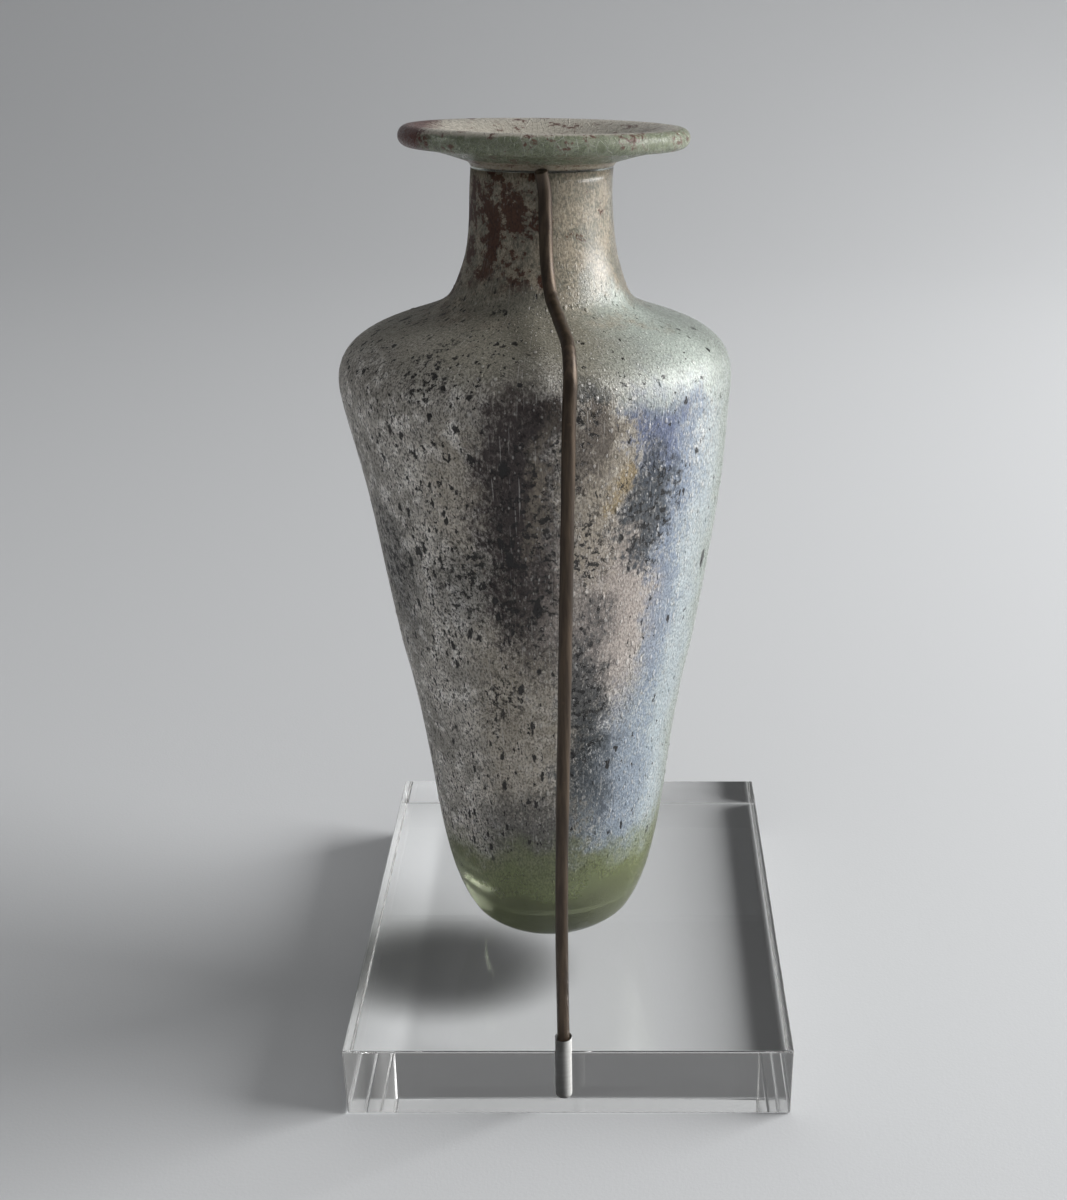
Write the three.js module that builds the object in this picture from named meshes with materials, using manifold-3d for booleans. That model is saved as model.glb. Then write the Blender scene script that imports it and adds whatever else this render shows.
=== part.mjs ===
// A Roman free-blown glass unguentarium, held by a bent metal rod in a clear acrylic base.
// Millimetres, +Z up. The origin is the centre of the base block's underside, and -Y is the front.
import * as THREE from 'three';
import * as BufferGeometryUtils from 'three/addons/utils/BufferGeometryUtils.js';
import Module from 'manifold-3d';

const wasm = await Module();
wasm.setup();
const { degToRad, smoothstep } = THREE.MathUtils;

// ---- Driving dimensions ----

// Base block
const BASE_WIDTH = 56;
const BASE_DEPTH = 64;
const BASE_HEIGHT = 10;
const BASE_CORNER = 0.5; // rounding of the four upright edges
const BASE_CHAMFER = 0.25; // polished edge round the top and the underside

// Rod and the hole that it stands in
const ROD_DIAMETER = 1.6;
const ROD_X = -0.65;
const ROD_Y = -29.2;
const ROD_END = 3; // height of the rod's lower end above the underside
const HOLE_DIAMETER = 2.1;
const HOLE_END = 1.3; // height of the hole's rounded bottom above the underside
const CLEARANCE = 0.35; // air left between the rod and the glass

// Bottle: heights are measured along its own axis, from the lowest point of its base
const LEAN = 4.3; // degrees that the bottle and the rod lean back
const BOTTLE_X = -3.15;
const BOTTLE_Y = -4.45;
const BOTTLE_GAP = 0.3; // between the round base and the block that it rests on
const BASE_ROUND = { radius: 10.9, height: 4.5 };
const FLANK = { radius: 18.55, height: 42.2 };
const SHOULDER = { radius: 23.8, height: 76.5 };
const SLOPE = { radius: 14.75, height: 84.2 };
const NECK_FOOT = { radius: 9.3, height: 90 };
const NECK = { radius: 8.3, height: 101 };
const WALL = { base: 3.2, body: 1.6, neck: 1.8 };

// Rim: a shallow funnel with a rounded edge
const LIP = { radius: 15.8, height: 104.5, round: 1.18 };
const FUNNEL = { radius: 9, underside: 101.9, top: 103.7 };
const MOUTH_RADIUS = NECK.radius - WALL.neck;

const BOTTLE_SIDES = 52;
const OUTSIDE_STEPS = [5, 4, 4, 7, 5, 3]; // facets along each curve of the outside outline
const RIM_STEPS = [2, 3, 7, 3, 3];
const ROD_SIDES = 12;
const ROD_STEPS = 72;

// ---- Helpers ----

// A closed mesh geometry as a manifold solid.
function toSolid(geometry) {
  const bare = geometry.clone();
  bare.deleteAttribute('normal');
  bare.deleteAttribute('uv');
  const merged = BufferGeometryUtils.mergeVertices(bare, 1e-4);
  return new wasm.Manifold(
    new wasm.Mesh({
      numProp: 3,
      vertProperties: new Float32Array(merged.attributes.position.array),
      triVerts: new Uint32Array(merged.index.array),
    }),
  );
}

// A manifold solid as a mesh geometry.
function toGeometry(solid) {
  const mesh = solid.getMesh();
  const geometry = new THREE.BufferGeometry();
  geometry.setAttribute('position', new THREE.BufferAttribute(mesh.vertProperties, 3));
  geometry.setIndex(new THREE.BufferAttribute(mesh.triVerts, 1));
  geometry.computeVertexNormals();
  return geometry;
}

// Points along an outline, with its own number of steps for each curve.
function pointsAlong(outline, steps) {
  const points = [outline.curves[0].getPoint(0)];
  outline.curves.forEach((curve, index) => {
    points.push(...curve.getPoints(steps[index]).slice(1));
  });
  return points;
}

// A profile of (radius, height) points turned round the Z axis.
function turned(profile, sides) {
  const geometry = new THREE.LatheGeometry(profile, sides);
  geometry.rotateX(Math.PI / 2);
  return geometry;
}

function namedMesh(name, geometry, material) {
  const mesh = new THREE.Mesh(geometry, material);
  mesh.name = name;
  return mesh;
}

// ---- The bottle's form ----

// The outside, from the middle of the base up to the top of the neck.
function outsideOutline() {
  const outline = new THREE.Path();
  outline.moveTo(0, 0);
  outline.bezierCurveTo(6.2, 0, 10.2, 3.5, BASE_ROUND.radius, BASE_ROUND.height);
  outline.bezierCurveTo(15.5, 11.8, 14.9, 27, FLANK.radius, FLANK.height);
  outline.bezierCurveTo(19.1, 44.6, SHOULDER.radius, 74.6, SHOULDER.radius, SHOULDER.height);
  outline.bezierCurveTo(SHOULDER.radius, 81.5, 19.3, 82.7, SLOPE.radius, SLOPE.height);
  outline.bezierCurveTo(10.8, 85.6, 10.7, 85.8, NECK_FOOT.radius, NECK_FOOT.height);
  outline.bezierCurveTo(8.4, 92.6, NECK.radius, 97.7, NECK.radius, NECK.height);
  return outline;
}

// The rim, from the top of the neck out under the funnel, round the lip and in to the mouth.
function rimOutline() {
  const outline = new THREE.Path();
  const lipFoot = LIP.height - LIP.round;
  outline.moveTo(NECK.radius, NECK.height);
  outline.quadraticCurveTo(NECK.radius, FUNNEL.underside - 0.3, FUNNEL.radius, FUNNEL.underside);
  outline.bezierCurveTo(11.4, 102.6, 13.6, lipFoot - 0.1, LIP.radius, lipFoot);
  outline.absarc(LIP.radius, LIP.height, LIP.round, -Math.PI / 2, Math.PI / 2);
  outline.bezierCurveTo(13.8, LIP.height + LIP.round, 12, 104.8, FUNNEL.radius, FUNNEL.top);
  outline.quadraticCurveTo(MOUTH_RADIUS, 102.7, MOUTH_RADIUS, NECK.height);
  return outline;
}

// Thickness of the glass: heavy in the base, thin in the body, a little thicker in the neck.
function wallAt(height) {
  const heavy = (WALL.base - WALL.body) * (1 - smoothstep(height, 0, 14));
  const neck = (WALL.neck - WALL.body) * smoothstep(height, SLOPE.height, NECK_FOOT.height);
  return WALL.body + heavy + neck;
}

// The inside follows the outside at the thickness of the wall, from the neck down to the axis.
function insideOf(outside) {
  return outside
    .map((point, index) => {
      const before = outside[Math.max(index - 1, 0)];
      const after = outside[Math.min(index + 1, outside.length - 1)];
      const along = after.clone().sub(before).normalize();
      const wall = wallAt(point.y);
      return new THREE.Vector2(point.x - along.y * wall, point.y + along.x * wall);
    })
    .filter((point) => point.x > 0.2)
    .reverse();
}

// The bottle was blown and tooled by hand: its centre line wanders sideways with height, and the
// lip dips a little to one side.
function wander(height) {
  const bulge = -0.95 * Math.exp(-(((height - SHOULDER.height) / 9) ** 2));
  return 0.25 + bulge + 0.55 * smoothstep(height, 98, 106);
}

function lipDip(x, height) {
  return -x * 0.015 * smoothstep(height, 100, 104);
}

function handmade(geometry) {
  const position = geometry.attributes.position;
  for (let i = 0; i < position.count; i += 1) {
    const x = position.getX(i);
    const height = position.getZ(i);
    position.setX(i, x + wander(height));
    position.setZ(i, height + lipDip(x, height));
  }
  return geometry;
}

function bottleGeometry() {
  const outside = pointsAlong(outsideOutline(), OUTSIDE_STEPS);
  const rim = pointsAlong(rimOutline(), RIM_STEPS).slice(1);
  const inside = insideOf(outside).slice(1);
  const innerBase = new THREE.Vector2(0, WALL.base);
  return handmade(turned([...outside, ...rim, ...inside, innerBase], BOTTLE_SIDES));
}

// Stands a form that was made round the bottle's axis in its place on the block, leaning back.
function leanBack() {
  const place = new THREE.Matrix4();
  place.makeTranslation(BOTTLE_X, BOTTLE_Y, BASE_HEIGHT + BOTTLE_GAP);
  return place.multiply(new THREE.Matrix4().makeRotationX(degToRad(-LEAN)));
}

// ---- The rod's route ----

// A point beside the bottle: how far in front of the bottle's axis, how far to its right, and how
// high along the axis. The rod keeps clear of the glass by CLEARANCE.
function beside(front, right, height) {
  return new THREE.Vector3(right, -front, height).applyMatrix4(leanBack());
}

function rodRoute() {
  const offShoulder = SHOULDER.radius + ROD_DIAMETER / 2 - 0.1; // the rod passes beside the middle
  const offNeck = NECK.radius + ROD_DIAMETER / 2 + CLEARANCE;
  return new THREE.CatmullRomCurve3(
    [
      new THREE.Vector3(ROD_X, ROD_Y, ROD_END),
      new THREE.Vector3(ROD_X, ROD_Y, BASE_HEIGHT),
      beside(offShoulder + 0.25, 2.5, 17),
      beside(offShoulder + 0.15, 3.15, 44),
      beside(offShoulder + 0.05, 3.75, 67),
      beside(offShoulder, 4, 77),
      beside(offShoulder - 0.5, 4.15, 81.2),
      beside(21.6, 3.9, 84),
      beside(16.5, 2.8, 86),
      beside(12.2, 1.75, 88),
      beside(offNeck + 1.1, 1.25, 91.5),
      beside(offNeck + 0.3, 1.15, 95.5),
      beside(offNeck, 1.05, 99.5),
      beside(offNeck + 0.5, 0.7, 101.45),
    ],
    false,
    'centripetal',
  );
}

// ---- Pieces ----

function glassBottle() {
  const glass = new THREE.MeshStandardMaterial({
    color: 0xa9b8a0,
    roughness: 0.25,
    metalness: 0,
    transparent: true,
    opacity: 0.6,
  });
  const geometry = bottleGeometry();
  geometry.applyMatrix4(leanBack());
  return namedMesh('glass_bottle', geometry, glass);
}

function supportRod() {
  const patinatedMetal = new THREE.MeshStandardMaterial({
    color: 0x4a3c30,
    roughness: 0.45,
    metalness: 0.8,
  });
  const section = new THREE.Shape();
  section.absarc(0, 0, ROD_DIAMETER / 2, 0, 2 * Math.PI);
  const rod = new THREE.ExtrudeGeometry(section, {
    steps: ROD_STEPS,
    curveSegments: ROD_SIDES / 2,
    extrudePath: rodRoute(),
  });
  return namedMesh('support_rod', rod, patinatedMetal);
}

function roundedRectangle(width, depth, corner) {
  const x = width / 2;
  const y = depth / 2;
  const shape = new THREE.Shape();
  shape.absarc(x - corner, y - corner, corner, 0, Math.PI / 2);
  shape.absarc(corner - x, y - corner, corner, Math.PI / 2, Math.PI);
  shape.absarc(corner - x, corner - y, corner, Math.PI, 1.5 * Math.PI);
  shape.absarc(x - corner, corner - y, corner, 1.5 * Math.PI, 2 * Math.PI);
  return shape;
}

// The blind hole's shape: straight, with a rounded bottom.
function drilledHole() {
  const bore = HOLE_DIAMETER / 2;
  const above = BASE_HEIGHT + 1;
  const outline = new THREE.Path();
  outline.moveTo(0, HOLE_END);
  outline.quadraticCurveTo(bore, HOLE_END, bore, HOLE_END + bore);
  outline.lineTo(bore, above);
  outline.lineTo(0, above);
  const hole = turned(outline.getPoints(5), 24);
  hole.translate(ROD_X, ROD_Y, 0);
  return hole;
}

function acrylicBase() {
  const acrylic = new THREE.MeshStandardMaterial({
    color: 0xe6e8e8,
    roughness: 0.05,
    metalness: 0,
    transparent: true,
    opacity: 0.35,
  });
  const inset = 2 * BASE_CHAMFER;
  const outline = roundedRectangle(BASE_WIDTH - inset, BASE_DEPTH - inset, BASE_CORNER);
  const block = new THREE.ExtrudeGeometry(outline, {
    depth: BASE_HEIGHT - inset,
    curveSegments: 2,
    bevelThickness: BASE_CHAMFER,
    bevelSize: BASE_CHAMFER,
    bevelSegments: 1,
  });
  block.translate(0, 0, BASE_CHAMFER);
  const drilled = toSolid(block).subtract(toSolid(drilledHole()));
  return namedMesh('acrylic_base', toGeometry(drilled), acrylic);
}

const unguentarium = new THREE.Group();
unguentarium.add(acrylicBase(), supportRod(), glassBottle());

export default unguentarium;
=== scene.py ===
# %% [markdown]
# # A Roman glass unguentarium on its rod and base
# A small free-blown perfume flask leans back a little, with one bent metal rod in front of it that
# stands in a block of clear acrylic. Two thousand years in the ground have turned much of the glass
# surface to a silvery crust, and soil has dried to a film inside. The construction is already fixed
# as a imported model, so this lesson only gives each piece its finer form and finish.

# %% Load the fixed frame
import math
import random

import bpy
from mathutils import Matrix, Vector, noise


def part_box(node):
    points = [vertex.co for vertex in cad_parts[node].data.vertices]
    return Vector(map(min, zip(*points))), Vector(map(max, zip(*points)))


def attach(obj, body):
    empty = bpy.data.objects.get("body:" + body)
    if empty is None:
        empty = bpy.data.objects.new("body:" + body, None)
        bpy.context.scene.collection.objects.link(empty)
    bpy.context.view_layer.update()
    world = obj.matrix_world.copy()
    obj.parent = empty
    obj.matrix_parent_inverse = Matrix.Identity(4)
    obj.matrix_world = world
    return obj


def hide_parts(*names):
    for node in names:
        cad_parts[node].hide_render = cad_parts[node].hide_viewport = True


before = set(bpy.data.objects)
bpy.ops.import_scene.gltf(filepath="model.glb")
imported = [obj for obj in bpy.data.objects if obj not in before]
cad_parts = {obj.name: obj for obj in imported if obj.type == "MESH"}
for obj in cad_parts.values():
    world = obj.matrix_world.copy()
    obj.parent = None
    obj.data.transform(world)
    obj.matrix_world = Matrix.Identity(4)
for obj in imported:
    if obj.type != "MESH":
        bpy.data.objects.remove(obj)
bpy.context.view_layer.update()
MM = 0.001
base_low, base_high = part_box("acrylic_base")

# %% [markdown]
# ## Camera
# The flask is looked down on from close by, so the camera is near and its lens is a normal one. A
# small sideways shift frames the flask left of the middle without turning the camera.

# %% Camera
CAMERA_PLACE = Vector((5.685, -181.86, 140.07)) * MM
CAMERA_DOWN = math.radians(24.62)
CAMERA_LENS = 46.224  # millimetres, on the default 36 mm sensor
CAMERA_SHIFT = -0.0671

camera_data = bpy.data.cameras.new("camera")
camera_data.lens = CAMERA_LENS
camera_data.shift_x = CAMERA_SHIFT
camera_data.clip_start = 0.01
camera = bpy.data.objects.new("camera", camera_data)
camera.location = CAMERA_PLACE
camera.rotation_euler = (math.pi / 2 - CAMERA_DOWN, 0, 0)
bpy.context.scene.collection.objects.link(camera)
bpy.context.scene.camera = camera
print("camera looks down", round(math.degrees(CAMERA_DOWN), 1), "degrees")

# %% [markdown]
# ## Helpers for modelling
# Operators act on whatever is selected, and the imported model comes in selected. These helpers keep
# one object selected, so that each step shapes that object and nothing else.

# %% Selection and edit mode
def only(obj):
    """Make obj the one selected and active object."""
    bpy.ops.object.select_all(action="DESELECT")
    obj.select_set(True)
    bpy.context.view_layer.objects.active = obj


def named(name):
    """Name the object that an operator has just added, and return it."""
    obj = bpy.context.active_object
    obj.name = name
    obj.data.name = name
    return obj


def settle(obj):
    """Put the object's place, turn and scale into its mesh, so that it sits at the origin."""
    only(obj)
    bpy.ops.object.transform_apply(location=True, rotation=True, scale=True)
    return obj


def apply_modifier(obj, kind, **settings):
    """Add one modifier with these settings and apply it."""
    only(obj)
    modifier = obj.modifiers.new(kind.title(), kind)
    for key, value in settings.items():
        setattr(modifier, key, value)
    bpy.ops.object.modifier_apply(modifier=modifier.name)


def report(obj):
    """Print how many faces a finished piece has."""
    print(obj.name, len(obj.data.polygons), "faces")
    return obj


# %% [markdown]
# ## The outline of the bottle
# A blown vessel is round about its axis, so its form is one outline. The outline is a chain of
# Bezier curves between a few driving sizes: rounded base, straight flank, round shoulder, sloping
# top, neck and a funnel-shaped rim. Heights are measured along the bottle's own axis.

# %% Driving sizes of the bottle
LEAN = math.radians(4.3)
BOTTLE_PLACE = Vector((-3.15 * MM, -4.45 * MM, base_high.z + 0.3 * MM))
BASE_ROUND = (10.9, 4.5)
FLANK = (18.55, 42.2)
SHOULDER = (23.8, 76.5)
SLOPE = (14.75, 84.2)
NECK_FOOT = (9.3, 90)
NECK = (8.3, 101)
LIP = (15.8, 104.5)
LIP_ROUND = 1.1
FUNNEL = (9, 101.9, 103.7)  # radius, height of the underside, height of the top
WALL_BASE, WALL_BODY, WALL_NECK = 3.2, 1.6, 1.8
MOUTH_RADIUS = NECK[0] - WALL_NECK
BOTTLE_SIDES = 144

stand = Matrix.Translation(BOTTLE_PLACE) @ Matrix.Rotation(-LEAN, 4, "X")


# %% Curves between the driving sizes
def bezier(points, steps):
    """Points along a quadratic or cubic Bezier curve, without its first point."""
    made = []
    for step in range(1, steps + 1):
        line = [Vector(point) for point in points]
        while len(line) > 1:
            line = [a.lerp(b, step / steps) for a, b in zip(line, line[1:])]
        made.append(line[0])
    return made


def smoothstep(value, low, high):
    """0 below low, 1 above high and a smooth ramp between."""
    share = min(max((value - low) / (high - low), 0), 1)
    return share * share * (3 - 2 * share)


def outside_outline():
    """The outside of the bottle, from the middle of the base to the top of the neck."""
    outline = [Vector((0, 0))]
    outline += bezier([(0, 0), (6.2, 0), (10.2, 3.5), BASE_ROUND], 10)
    outline += bezier([BASE_ROUND, (15.5, 11.8), (14.9, 27), FLANK], 14)
    outline += bezier([FLANK, (19.1, 44.6), (23.8, 74.6), SHOULDER], 14)
    outline += bezier([SHOULDER, (23.8, 81.5), (19.3, 82.7), SLOPE], 16)
    outline += bezier([SLOPE, (10.8, 85.6), (10.7, 85.8), NECK_FOOT], 10)
    outline += bezier([NECK_FOOT, (8.4, 92.6), (8.3, 97.7), NECK], 8)
    return outline


def rim_outline():
    """The rim, out under the funnel, round the lip and in to the mouth."""
    radius, height = LIP
    funnel, underside, top = FUNNEL
    foot = height - LIP_ROUND
    outline = bezier([NECK, (NECK[0], underside - 0.3), (funnel, underside)], 4)
    outline += bezier([(funnel, underside), (11.4, 102.6), (13.6, foot - 0.1), (radius, foot)], 8)
    for step in range(1, 13):
        turn = math.pi * (step / 12 - 0.5)
        outline.append(Vector((radius, height)) + LIP_ROUND * Vector((math.cos(turn), math.sin(turn))))
    outline += bezier([(radius, height + LIP_ROUND), (13.8, 105.68), (12, 104.8), (funnel, top)], 8)
    outline += bezier([(funnel, top), (MOUTH_RADIUS, 102.7), (MOUTH_RADIUS, NECK[1])], 5)
    return outline


def wall_at(height):
    """Thickness of the glass at a height: heavy in the base and a little thicker in the neck."""
    heavy = (WALL_BASE - WALL_BODY) * (1 - smoothstep(height, 0, 14))
    neck = (WALL_NECK - WALL_BODY) * smoothstep(height, SLOPE[1], NECK_FOOT[1])
    return WALL_BODY + heavy + neck


def offset_outline(outline, depth):
    """An outline moved inwards, square to itself, by depth(height)."""
    made = []
    for index, point in enumerate(outline):
        before = outline[max(index - 1, 0)]
        after = outline[min(index + 1, len(outline) - 1)]
        along = (after - before).normalized()
        made.append(point + Vector((-along.y, along.x)) * depth(point.y))
    return [point for point in made if point.x > 0.15]


outside = outside_outline()
rim = rim_outline()
inside = offset_outline(outside, wall_at)
print("outline points:", len(outside), "outside,", len(rim), "rim,", len(inside), "inside")


# %% [markdown]
# ## Turning an outline into a body
# A circle primitive is a loop of vertices. Moved onto the outline and spun round the axis it makes
# the whole wall at once, outside and inside together. Then the hand of the glass-blower comes in:
# the axis wanders, the lip dips to one side and the surface is never quite round.

# %% Spin and hand-made form
SWELL = 0.07  # millimetres that the surface strays in and out


def wander(height):
    """How far the bottle's centre line strays sideways at a height, in millimetres."""
    bulge = -0.95 * math.exp(-(((height - SHOULDER[1]) / 9) ** 2))
    return 0.25 + bulge + 0.55 * smoothstep(height, 98, 106)


def handmade(point):
    """Move a point of the true round form to where hand-blown glass has it, in millimetres."""
    sideways = Vector((point.x, point.y, 0))
    waves = noise.noise(point * 0.09 + Vector((3.1, 7.7, 1.9)))
    swell = SWELL * waves * smoothstep(sideways.length, 2, 9)
    fade = 1 - smoothstep(point.z, 96, 101)
    moved = point + sideways.normalized() * swell * fade if sideways.length > 0 else point.copy()
    moved.x += wander(point.z)
    moved.z -= point.x * 0.015 * smoothstep(point.z, 100, 104)
    return moved


def spun(name, outline, closed):
    """Spin an outline of (radius, height) millimetres into a body that stands on the block."""
    bpy.ops.object.select_all(action="DESELECT")
    bpy.ops.mesh.primitive_circle_add(vertices=len(outline), radius=1)
    body = named(name)
    for vertex, point in zip(body.data.vertices, outline):
        vertex.co = (point.x, 0, point.y)
    bpy.ops.object.mode_set(mode="EDIT")
    if not closed:
        bpy.ops.mesh.select_mode(type="EDGE")
        bpy.ops.mesh.select_all(action="DESELECT")
        bpy.ops.object.mode_set(mode="OBJECT")
        ends = {0, len(outline) - 1}
        for edge in body.data.edges:
            edge.select = set(edge.vertices) == ends
        bpy.ops.object.mode_set(mode="EDIT")
        bpy.ops.mesh.delete(type="EDGE_FACE")
        bpy.ops.mesh.select_mode(type="VERT")
    bpy.ops.mesh.select_all(action="SELECT")
    bpy.ops.mesh.spin(steps=BOTTLE_SIDES, angle=2 * math.pi, center=(0, 0, 0), axis=(0, 0, 1))
    bpy.ops.mesh.select_all(action="SELECT")
    bpy.ops.mesh.remove_doubles(threshold=0.004)
    bpy.ops.mesh.normals_make_consistent(inside=False)
    bpy.ops.object.mode_set(mode="OBJECT")
    for vertex in body.data.vertices:
        vertex.co = stand @ (handmade(vertex.co) * MM)
    only(body)
    bpy.ops.object.shade_smooth()
    return body


axis_end = Vector((0, WALL_BASE))
bottle = spun("bottle_glass", outside + rim + inside[::-1] + [axis_end], closed=False)
report(bottle)

# %% [markdown]
# ## Weathered skin and soil film
# Weathering turns the outer glass to thin coloured layers, and soil dries on the inside. Both are
# real layers a few hundredths of a millimetre thick, so both are made as closed thin shells that
# follow the glass. Where a layer has flaked off is a matter of the material's alpha.

# %% Thin layers on the glass
LAYER = 0.04
GAP = 0.03


def layer(name, outline, near, far):
    """A closed thin shell that follows an outline, between two depths inside it."""
    outer = offset_outline(outline, lambda height: near)
    inner = offset_outline(outline, lambda height: far)
    return report(spun(name, outer + inner[::-1], closed=True))


def between(outline, low, high):
    """The stretch of an outline between two heights."""
    return [point for point in outline if low <= point.y <= high]


skin = layer("weathered_skin", between(outside, 0.6, 101), -GAP - LAYER, -GAP)
rim_skin = layer("rim_deposit", rim, -GAP - LAYER, -GAP)
soil = layer("soil_film", between(inside, 6, 101), GAP, GAP + LAYER)

# %% [markdown]
# ## Bubbles
# The glass is full of gas bubbles that were drawn out as the bottle was blown. Those just under the
# surface stand up as small blisters. One blister is modelled and copied some hundreds of times, so
# it has only a few dozen faces, and each copy is turned to lie along the glass.

# %% Blisters
BLISTERS = 1500
rng = random.Random(31)


def radius_at(outline, height):
    """Radius of an outline at a height, and its slope there, found between its points."""
    for low, high in zip(outline, outline[1:]):
        if low.y <= height <= high.y:
            share = (height - low.y) / (high.y - low.y)
            return low.x + (high.x - low.x) * share, (high - low).normalized()
    return outline[-1].x, Vector((0, 1))


def blister():
    """One blister: a flattened ball, a few dozen faces."""
    bpy.ops.object.select_all(action="DESELECT")
    bpy.ops.mesh.primitive_uv_sphere_add(segments=8, ring_count=5, radius=1)
    ball = named("blister")
    bpy.ops.object.mode_set(mode="EDIT")
    bpy.ops.transform.resize(value=(1, 0.55, 1.45), center_override=(0, 0, 0))
    bpy.ops.object.mode_set(mode="OBJECT")
    return ball


def blister_place():
    """A place and size for one blister: crowded at the right front, few at the left."""
    while True:
        around = math.radians(rng.uniform(-180, 180))
        height = rng.uniform(9, 88)
        crowd = 0.35 + 0.65 * math.exp(-(((math.degrees(around) - 28) / 45) ** 2))
        if rng.random() < crowd:
            break
    size = rng.choice((0.1, 0.12, 0.14, 0.16, 0.19, 0.24)) * rng.uniform(0.8, 1.15)
    radius, along = radius_at(outside, height)
    out = Vector((along.y * math.sin(around), -along.y * math.cos(around), -along.x))
    up = Vector((along.x * math.sin(around), -along.x * math.cos(around), along.y))
    place = handmade(Vector((radius * math.sin(around), -radius * math.cos(around), height)))
    turn = Matrix((up.cross(out), -out, up)).transposed().to_4x4()
    stretch = Matrix.Diagonal((size, size, size * rng.uniform(0.75, 1.5), 1))
    return stand @ Matrix.Scale(MM, 4) @ Matrix.Translation(place + out * 0.02) @ turn @ stretch


def scattered(name, model, places):
    """One mesh made of many copies of a model."""
    corners = [vertex.co.copy() for vertex in model.data.vertices]
    loops = [tuple(face.vertices) for face in model.data.polygons]
    points, faces = [], []
    for place in places:
        faces += [tuple(corner + len(points) for corner in loop) for loop in loops]
        points += [place @ corner for corner in corners]
    mesh = bpy.data.meshes.new(name)
    mesh.from_pydata(points, [], faces)
    made = bpy.data.objects.new(name, mesh)
    bpy.context.scene.collection.objects.link(made)
    bpy.data.objects.remove(model)
    only(made)
    bpy.ops.object.shade_smooth()
    return report(made)


blisters = scattered("surface_bubbles", blister(), [blister_place() for _ in range(BLISTERS)])

# %% [markdown]
# ## The rod
# The rod is one length of round metal wire, bent by hand. Its middle line is a smooth curve through
# the bends, and a bevelled curve made into a mesh gives the round bar.

# %% Route of the rod
ROD_RADIUS = 0.8 * MM
ROD_FOOT = Vector((-0.65, -29.2, 3)) * MM
OFF_SHOULDER = 24.5
OFF_NECK = 9.45


def beside(front, right, height):
    """A point beside the bottle: in front of its axis, to its right and along its height."""
    return stand @ (Vector((right, -front, height)) * MM)


rod_bends = [
    ROD_FOOT,
    Vector((ROD_FOOT.x, ROD_FOOT.y, base_high.z)),
    beside(OFF_SHOULDER + 0.25, 2.5, 17),
    beside(OFF_SHOULDER + 0.15, 3.15, 44),
    beside(OFF_SHOULDER + 0.05, 3.75, 67),
    beside(OFF_SHOULDER, 4, 77),
    beside(OFF_SHOULDER - 0.5, 4.15, 81.2),
    beside(21.6, 3.9, 84),
    beside(16.5, 2.8, 86),
    beside(12.2, 1.75, 88),
    beside(OFF_NECK + 1.1, 1.25, 91.5),
    beside(OFF_NECK + 0.3, 1.15, 95.5),
    beside(OFF_NECK, 1.05, 99.5),
    beside(OFF_NECK + 0.5, 0.7, 101.45),
]


def smooth_route(bends, steps):
    """Points along the centripetal Catmull-Rom curve through the bends."""
    ends = [2 * bends[0] - bends[1], *bends, 2 * bends[-1] - bends[-2]]
    route = [bends[0].copy()]
    for a, b, c, d in zip(ends, ends[1:], ends[2:], ends[3:]):
        before, here, after = [math.sqrt((q - p).length) for p, q in ((a, b), (b, c), (c, d))]
        leave = ((b - a) / before - (c - a) / (before + here) + (c - b) / here) * here
        arrive = ((c - b) / here - (d - b) / (here + after) + (d - c) / after) * here
        for step in range(1, steps + 1):
            t = step / steps
            route.append(
                (2 * t**3 - 3 * t**2 + 1) * b
                + (t**3 - 2 * t**2 + t) * leave
                + (3 * t**2 - 2 * t**3) * c
                + (t**3 - t**2) * arrive
            )
    return route


rod_route = smooth_route(rod_bends, 14)
print("rod length in mm:", round(sum((b - a).length for a, b in zip(rod_route, rod_route[1:])) / MM, 1))


# %% Bevelled curve as a mesh
def round_bar(name, route, radius):
    """A round bar along a route, a little uneven in thickness, as a mesh."""
    bpy.ops.object.select_all(action="DESELECT")
    bpy.ops.curve.primitive_nurbs_path_add(location=(0, 0, 0))
    bar = named(name)
    bar.data.splines.clear()
    spline = bar.data.splines.new("POLY")
    spline.points.add(len(route) - 1)
    for point, place in zip(spline.points, route):
        point.co = (*place, 1)
        point.radius = 0.97 + 0.05 * noise.noise(place * 160)
    spline.points[-1].radius = 0.8
    bar.data.bevel_depth = radius
    bar.data.bevel_resolution = 5
    bar.data.use_fill_caps = True
    only(bar)
    bpy.ops.object.convert(target="MESH")
    bar = bpy.context.active_object
    bpy.ops.object.mode_set(mode="EDIT")
    bpy.ops.mesh.select_all(action="SELECT")
    bpy.ops.mesh.remove_doubles(threshold=0.01 * MM)
    bpy.ops.mesh.normals_make_consistent(inside=False)
    bpy.ops.object.mode_set(mode="OBJECT")
    bpy.ops.object.shade_smooth_by_angle(angle=math.radians(40))
    return report(bar)


rod = round_bar("bent_metal_rod", rod_route, ROD_RADIUS)

# %% [markdown]
# ## The acrylic block
# A sawn and polished block has crisp edges with the slightest round on them, and one drilled blind
# hole with a frosted wall. A cube primitive takes the block's box, a bevel breaks its edges, and the
# hole is cut with a boolean of the drill's own shape.

# %% Block and drilled hole
HOLE_RADIUS = 1.05 * MM
HOLE_END = 1.3 * MM


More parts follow.
